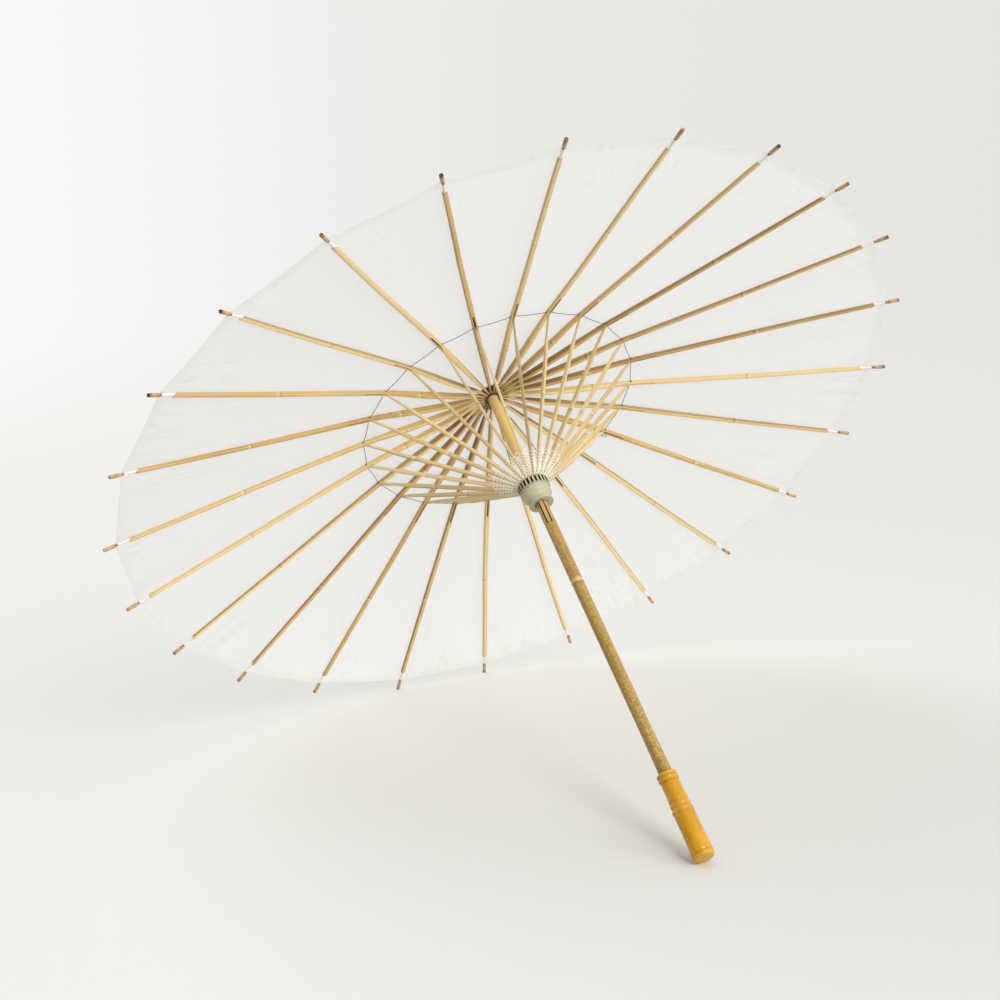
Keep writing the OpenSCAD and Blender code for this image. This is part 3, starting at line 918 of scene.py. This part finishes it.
def paper_point(n, s, f, lift=0.0):
    """A point of the cover at length s down the ribs, f from rib n (0) to its neighbour (1 or -1)."""
    x, z = along_rib(s, paper_height(min(s, BODY_END)) + lift)
    here = rib_spoke(n).at(x, 0, z)
    there = rib_spoke(n + (1 if f > 0 else -1)).at(x, 0, z)
    f = abs(f)
    p = here.lerp(there, f)
    stretch = min(1.0, x / TIP_R)
    hang = math.sin(math.pi * f) ** 2
    rim = max(0.0, 1 - (PAPER_EDGE - s) / CREASED_RIM)
    radial = noise.noise(Vector((math.atan2(p.x, p.z + 0.05) * 260, s * 22, 3.0)))
    crease = noise.noise(p * 16) * 0.5 + radial * rim
    return p - UP * (SAG * stretch * hang + CREASE_DEPTH * crease * hang)


def make_gore(n):
    build = Build()
    columns = [i / (2 * HALF_COLUMNS) for i in range(-HALF_COLUMNS, HALF_COLUMNS + 1)]
    body_len = PAPER_EDGE - HEM_WIDTH - PAPER_START
    rows = [PAPER_START + body_len * i / ROW_STEPS for i in range(ROW_STEPS + 1)]
    rows += [PAPER_EDGE - HEM_WIDTH * f for f in (0.75, 0.5, 0.25, 0.08, 0.0)]
    lift = lambda s: 0.25 * MM * bell(s, PAPER_EDGE - 0.6 * MM, 0.8 * MM)
    add_panel(build, n, rows, columns, 0, lift)
    hem = [PAPER_EDGE - HEM_WIDTH * f for f in (1.0, 0.98, 0.7, 0.4, 0.12, 0.0)]
    add_panel(build, n, hem, columns, 1, lambda s: -0.28 * MM * min(1.0, (PAPER_EDGE - s) / (1.2 * MM)), True)
    gore = build.piece(f"paper_gore_{number(n)}", [PAPER, HEM_PAPER])
    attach(gore, f"rib_{number(n)}")
    spoke = rib_spoke(n)
    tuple(spoke.side)
    spoke.at(0, 0, 0)
    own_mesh(gore)
    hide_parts("canopy", "rim_thread")


def add_panel(build, n, rows, columns, slot, lift, turned=False):
    wide = len(columns)
    points = [paper_point(n, s, f, lift(s)) for s in rows for f in columns]
    start = build.add(points, [(0, 0, 0)] * len(points))
    for i in range(len(rows) - 1):
        for k in range(wide - 1):
            a = start + i * wide + k
            face = (a, a + 1, a + 1 + wide, a + wide)
            across = [2 * rows[j] * math.sin(HALF_PITCH) * columns[c] + 0.11 * n
                      for j, c in ((i, k), (i, k + 1), (i + 1, k + 1), (i + 1, k))]
            uv = tuple(zip(across, (rows[i], rows[i], rows[i + 1], rows[i + 1])))
            build.faces.append(face[::-1] if turned else face)
            build.uvs.append(uv[::-1] if turned else uv)
            build.slots.append(slot)


# ---------------------------------------------------------------- shaft, handle, runner, cap

SHAFT_R = 6 * MM
SHAFT_TOP_R = 5.4 * MM
CULM_NODE_Z = -239 * MM
HANDLE_TOP = -455 * MM
HANDLE_END = -542 * MM
CATCH_AZIMUTH = math.radians(245)


def box_cutter(spoke, low, high):
    """A cutter whose faces carry the second material, which the cut walls take over."""
    build = Build()
    corners = [(x, y, z) for x in (low[0], high[0]) for y in (low[1], high[1]) for z in (low[2], high[2])]
    start = build.add([spoke.at(*c) for c in corners], [(0, 0, 0)] * 8)
    for face in ((0, 1, 3, 2), (4, 6, 7, 5), (0, 4, 5, 1), (2, 3, 7, 6), (0, 2, 6, 4), (1, 5, 7, 3)):
        build.faces.append(tuple(start + i for i in face))
        build.uvs.append(((0, 0),) * 4)
        build.slots.append(1)
    return build


def make_shaft():
    build = Build()

    def radius(z):
        top = SHAFT_TOP_R + (SHAFT_R - SHAFT_TOP_R) * min(1.0, -z / (120 * MM)) if z < 0 else SHAFT_TOP_R
        node = 0.32 * MM * bell(z, CULM_NODE_Z, 1.6 * MM)
        node -= 0.18 * MM * bell(z, CULM_NODE_Z - 3 * MM, 1.0 * MM)
        return top + node + 0.0008 * max(0.0, (-z - 0.40) / 0.1)

    heights = [3.2 * MM - 4 * MM * i for i in range(125)]
    heights += [CULM_NODE_Z + 0.7 * MM * k for k in range(-9, 10)]
    profile = [(radius(z), z) for z in sorted(heights, reverse=True) if z > HANDLE_TOP - 30 * MM]

    def wobble(a, z):
        return 0.16 * MM * noise.noise(Vector((math.cos(a) * 0.8, math.sin(a) * 0.8, z * 16)))

    def mark(z):
        band = bell(z, CULM_NODE_Z + 0.6 * MM, 2.6 * MM)
        # The dark ring where the shaft goes into the handle is painted shade; the dark lines round the node
        # are the culm's own.
        dark = 0.65 * bell(z, CULM_NODE_Z - 3.0 * MM, 0.9 * MM) + 0.30 * bell(z, HANDLE_TOP, 4 * MM)
        dark += 0.25 * bell(z, CULM_NODE_Z + 4.5 * MM, 1.0 * MM)
        # Painted light and shade: the tone is lighter from the runner up and darker below it.
        above = 0.5 + 0.5 * math.tanh((z + 125 * MM) / (30 * MM))
        return (0.9 * band, min(1.0, dark), 0.06 + 0.68 * above)

    build.lathe(profile, sides=48, mark=mark, wobble=wobble)
    shaft = build.piece("bamboo_shaft", [SHAFT_BAMBOO, SLOT_SHADE])
    spoke = Spoke(CATCH_AZIMUTH)
    slot = box_cutter(spoke, (1.2 * MM, -2.8 * MM, -168 * MM), (9 * MM, 2.8 * MM, -138.6 * MM))
    carve(shaft, slot.piece("slot_cutter", [SHAFT_BAMBOO, SLOT_SHADE]))
    shaft.data.set_sharp_from_angle(angle=math.radians(40))
    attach(shaft, "root")
    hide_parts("shaft")


def make_handle():
    grip = 8.7
    top, end = HANDLE_TOP / MM, HANDLE_END / MM
    outline = [(6.2, top - 2), (6.3, top - 0.3), (7.0, top)]
    outline += arc(grip - 1.2, top - 2.1, 2.1, 75, -42, 7)
    outline += arc(grip - 1.6, top - 6.2, 2.6, 48, -62, 8)
    outline += [(grip - 0.05, top - 9.4), (grip, top - 12), (grip, top - 21)]
    outline += [(grip + 0.25, top - 25), (grip + 0.45, top - 28.6)]
    outline += [(grip + 0.15, top - 29.7)]
    outline += arc(grip - 2.25, top - 32.7, 3.1, 42, -44, 8)
    outline += arc(grip - 1.6, top - 38.8, 3.1, 46, -38, 8)
    outline += [(grip + 0.8, top - 41.4), (grip + 1.0, top - 42.6)]
    outline += [(grip + 1.05, top - 46), (grip + 0.95, top - 52)]
    outline += [(grip + 1.0, top - 60), (grip + 1.2, top - 67), (grip + 1.45, top - 74)]
    outline += [(grip + 1.55, top - 78.5), (grip + 1.45, top - 81.2)]
    outline += [(grip + 1.25, top - 81.7), (grip + 1.28, top - 82.2)]
    outline += [(grip + 1.45, top - 82.9)]
    outline += arc(6.95, end + 3.2, 3.2, 0, -84, 9)
    outline += [(6.0, end + 0.02), (3.0, end - 0.05), (0.3, end - 0.1)]

    grooves = [(top - depth) * MM for depth in (4.1, 9.2, 29.3, 35.7, 42.0, 81.9)]

    def mark(z):
        # Painted shade: dark rings in the grooves and at the handle's top edge.
        dark = sum(0.45 * bell(z, g, 0.45 * MM) for g in grooves) + 0.4 * bell(z, HANDLE_TOP, 0.5 * MM)
        worn = 0.10 * bell(z, HANDLE_END + 0.8 * MM, 1.2 * MM)
        worn += 0.12 * bell(z, HANDLE_TOP - 38.8 * MM, 0.8 * MM)
        return (worn, min(0.85, dark), 0)

    build = Build()
    build.lathe(in_metres(outline), sides=96, mark=mark)
    handle = build.piece("turned_handle", [HANDLE_LACQUER])
    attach(handle, "root")
    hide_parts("handle")


def make_runner():
    bore, band = 6.5, 16.0
    outline = [(bore, -141.2), (bore, -112.4), (bore + 0.4, -112)]
    outline += arc(band - 0.8, -112.8, 0.8, 90, 0, 5)
    outline += arc(band - 0.5, -124.3, 0.5, 0, -80, 4)
    outline += [(15.1, -124.9), (14.85, -125.4), (14.8, -128.5)]
    outline += arc(12.6, -131.4, 2.2, 5, -55, 6)
    outline += [(12.9, -134.9), (12.3, -136.6), (12.15, -138.0)]
    outline += [(12.3, -139.4), (12.6, -140.5)]
    outline += arc(12.2, -141.3, 0.75, 50, -90, 7)
    outline += [(bore + 0.8, -142.05), (bore + 0.15, -141.8), (bore, -141.2)]

    def mark(z):
        # Painted shade under the band's lip and in the waist above the foot.
        dark = 0.45 * bell(z, -124.9 * MM, 0.6 * MM) + 0.30 * bell(z, -138.0 * MM, 1.0 * MM)
        return (0, dark, 0)

    build = Build()
    build.lathe(in_metres(outline[:-1]), sides=144, mark=mark)
    close_ring(build, len(outline) - 1, 144)
    runner = build.piece("moulded_runner", [RUNNER_PLASTIC, SLOT_SHADE])
    slots = Build()
    for n in range(1, RIB_COUNT + 1):
        low, high = (12.3 * MM, -1.05 * MM, -124 * MM), (20 * MM, 1.05 * MM, -105 * MM)
        slots.join(box_cutter(rib_spoke(n), low, high))
    carve(runner, slots.piece("runner_slot_cutter", [RUNNER_PLASTIC, SLOT_SHADE]))
    runner.data.set_sharp_from_angle(angle=math.radians(32))
    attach(runner, "runner")
    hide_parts("runner")


def close_ring(build, rows, sides):
    """Joins a lathe's last ring to its first, in place of its two end caps."""
    for part in (build.faces, build.uvs, build.slots):
        del part[-2:]
    last = (rows - 1) * sides
    for k in range(sides):
        j = (k + 1) % sides
        build.faces.append((last + k, last + j, j, k))
        build.uvs.append(((0, 0), (0.001, 0), (0.001, 0.001), (0, 0.001)))
        build.slots.append(0)


def make_notch():
    """The slotted head: its slots run in past the wire, so that the ribs' tails can tip up as they fold."""
    inner, outer, top, foot = 5.6, 17.4, 3.1, -1.15
    outline = [(inner, foot + 0.4), (inner, top - 0.2), (inner + 0.2, top), (outer - 0.4, top)]
    outline += [(outer, top - 0.4), (outer, 0.6), (13.8, 0.55), (13.8, -0.55)]
    outline += [(outer, -0.6), (outer, foot + 0.5), (outer - 0.5, foot), (inner + 0.4, foot)]
    build = Build()
    build.lathe(in_metres(outline), sides=96)
    close_ring(build, len(outline), 96)
    notch = build.piece("slotted_notch", [NOTCH_SHADE_WOOD, SLOT_SHADE])
    slots = Build()
    for n in range(1, RIB_COUNT + 1):
        slots.join(box_cutter(rib_spoke(n), (8.6 * MM, -1.0 * MM, -6 * MM), (25 * MM, 1.0 * MM, 8 * MM)))
    carve(notch, slots.piece("notch_slot_cutter", [NOTCH_SHADE_WOOD, SLOT_SHADE]))
    notch.data.set_sharp_from_angle(angle=math.radians(32))
    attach(notch, "root")
    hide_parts("top_notch")


def make_cap():
    z = 3.25
    outline = [(0.3, z), (6.0, z), (8.0, 5.2), (14.6, 5.4), (15.2, z)]
    outline += [(17.6, z), (18.2, 2.55), (20.3, 2.5)]
    outline += [(20.6, 3.0), (20.5, 4.6), (19.6, 5.4), (18.9, 5.5)]
    outline += [(18.6, 6.3), (16.0, 8.4), (12.5, 10.6), (9.0, 12.3)]
    outline += [(6.6, 13.6), (5.0, 15.4), (4.3, 17.2), (4.1, 18.4)]
    outline += arc(0.6, 20.9, 4.2, -35, 80, 9)
    outline += [(0.3, 25.1)]
    build = Build()
    build.lathe(in_metres(outline), sides=72)
    cap = build.piece("turned_cap", [CAP_WOOD], 50)
    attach(cap, "root")
    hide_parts("top_cap")


def dress_nodes():
    """CAD parts whose shape stays as it is get their materials."""
    for name, material in (("upper_hinge_wire", WIRE), ("stop_pin", CATCH_BAMBOO),
                           ("catch_spring", CATCH_BAMBOO)):
        node = frame["nodes"][name]
        node.data.materials.clear()
        node.data.materials.append(material)
        for slot in node.material_slots:
            slot.material = material


# ---------------------------------------------------------------- floor and light

# Floor colours, left and right: the lighter left is painted light.
FLOOR_LEFT, FLOOR_RIGHT = (0.715, 0.718, 0.700), (0.680, 0.686, 0.662)
LEFT_LIGHT, RIGHT_LIGHT = 0.10, 0.92
# across the backdrop from left to right, high up and lower down: place and shade
BACKDROP_HIGH = ((0.0, (0.95, 0.95, 0.95)), (0.25, (0.89, 0.89, 0.885)), (0.5, (0.815, 0.82, 0.785)),
                 (0.75, (0.795, 0.80, 0.765)), (1.0, (0.78, 0.79, 0.75)))
BACKDROP_LOW = ((0.0, (0.872, 0.88, 0.842)), (0.25, (0.868, 0.875, 0.84)), (0.5, (0.838, 0.845, 0.81)),
                (0.75, (0.812, 0.82, 0.782)), (1.0, (0.80, 0.81, 0.77)))


def add_light(name, energy, wide, colour, azimuth, height):
    sun = bpy.data.lights.new(name, "SUN")
    sun.energy = energy
    sun.angle = math.radians(wide)
    sun.color = colour
    lamp = bpy.data.objects.new(name, sun)
    bpy.context.collection.objects.link(lamp)
    a, h = math.radians(azimuth), math.radians(height)
    toward = Vector((math.cos(a) * math.cos(h), math.sin(a) * math.cos(h), math.sin(h)))
    lamp.rotation_euler = toward.to_track_quat("Z", "Y").to_euler()
    return lamp


def make_floor():
    """A round patch of floor that fades into the backdrop; its colour is lighter to the left, as painted
    light.
    """
    m = Nodes("pale_floor")
    m.set(Roughness=0.9, Specular_IOR_Level=0.0)
    place = m.new("ShaderNodeTexCoord")
    across = m.new("ShaderNodeSeparateXYZ")
    m.link(place.outputs["Object"], across.inputs["Vector"])
    m.colour(m.mix(m.map_range(across.outputs["X"], -0.6, 0.4), FLOOR_LEFT, FLOOR_RIGHT))
    reach = m.new("ShaderNodeVectorMath", operation="LENGTH")
    m.link(place.outputs["Object"], reach.inputs[0])
    fade = m.map_range(reach.outputs["Value"], 0.55, 1.35, interpolation_type="SMOOTHERSTEP")
    clear = m.new("ShaderNodeBsdfTransparent")
    m.link(m.mix_shaders(fade, m.shader.outputs[0], clear.outputs[0]), m.output.inputs["Surface"])
    bpy.ops.mesh.primitive_plane_add(size=4, location=(0, 0, 0))
    floor = bpy.context.object
    floor.name = "floor"
    floor.data.materials.append(m.material)


def make_backdrop():
    """An even studio light all round, and a pale backdrop that is lighter to the left."""
    world = bpy.data.worlds.new("studio")
    bpy.context.scene.world = world
    world.use_nodes = True
    world.node_tree.nodes.clear()
    t = Tree(world.node_tree)
    place = t.new("ShaderNodeTexCoord").outputs["Generated"]
    across = t.new("ShaderNodeVectorMath", operation="DOT_PRODUCT")
    across.inputs[1].default_value = (0.916, -0.396, -0.069)
    t.link(place, across.inputs[0])
    side = across.outputs["Value"]
    light = t.new("ShaderNodeBackground")
    light.inputs["Color"].default_value = (1, 0.995, 0.985, 1)
    t.link(t.map_range(side, -1, 1, LEFT_LIGHT, RIGHT_LIGHT), light.inputs["Strength"])
    width = t.map_range(side, -0.27, 0.27)
    height = t.new("ShaderNodeSeparateXYZ")
    t.link(place, height.inputs["Vector"])
    rise = t.map_range(height.outputs["Z"], -0.19, -0.09, interpolation_type="SMOOTHSTEP")
    seen = t.new("ShaderNodeBackground")
    shade = t.mix(rise, t.ramp(width, *BACKDROP_LOW), t.ramp(width, *BACKDROP_HIGH))
    t.link(shade, seen.inputs["Color"])
    is_seen = t.new("ShaderNodeLightPath").outputs["Is Camera Ray"]
    output = t.new("ShaderNodeOutputWorld")
    t.link(t.mix_shaders(is_seen, light.outputs[0], seen.outputs[0]), output.inputs["Surface"])


def make_stage():
    make_floor()
    make_backdrop()
    key = add_light("key", 1.2, 22, (1, 0.99, 0.97), -85, 46)
    casters = bpy.data.collections.new("key_shadow_casters")
    for name in ("bamboo_shaft", "turned_handle", "moulded_runner"):
        casters.objects.link(bpy.data.objects[name])
    key.light_linking.blocker_collection = casters
    add_light("fill", 1.4, 50, (1, 0.985, 0.96), -60, 24)
    add_light("back", 0.75, 60, (1, 1, 1), 114, 20)
    add_light("top", 0.7, 55, (1, 1, 1), 120, 64)


# ---------------------------------------------------------------- the umbrella

for rib_number in range(1, RIB_COUNT + 1):
    make_rib(rib_number)
    make_stretcher(rib_number)
    make_ring_thread(rib_number)
    make_lacing(rib_number)
    make_gore(rib_number)
make_band_lacing()
make_shaft()
make_handle()
make_runner()
make_notch()
make_cap()
dress_nodes()
make_stage()

bpy.context.scene.view_settings.view_transform = "Standard"
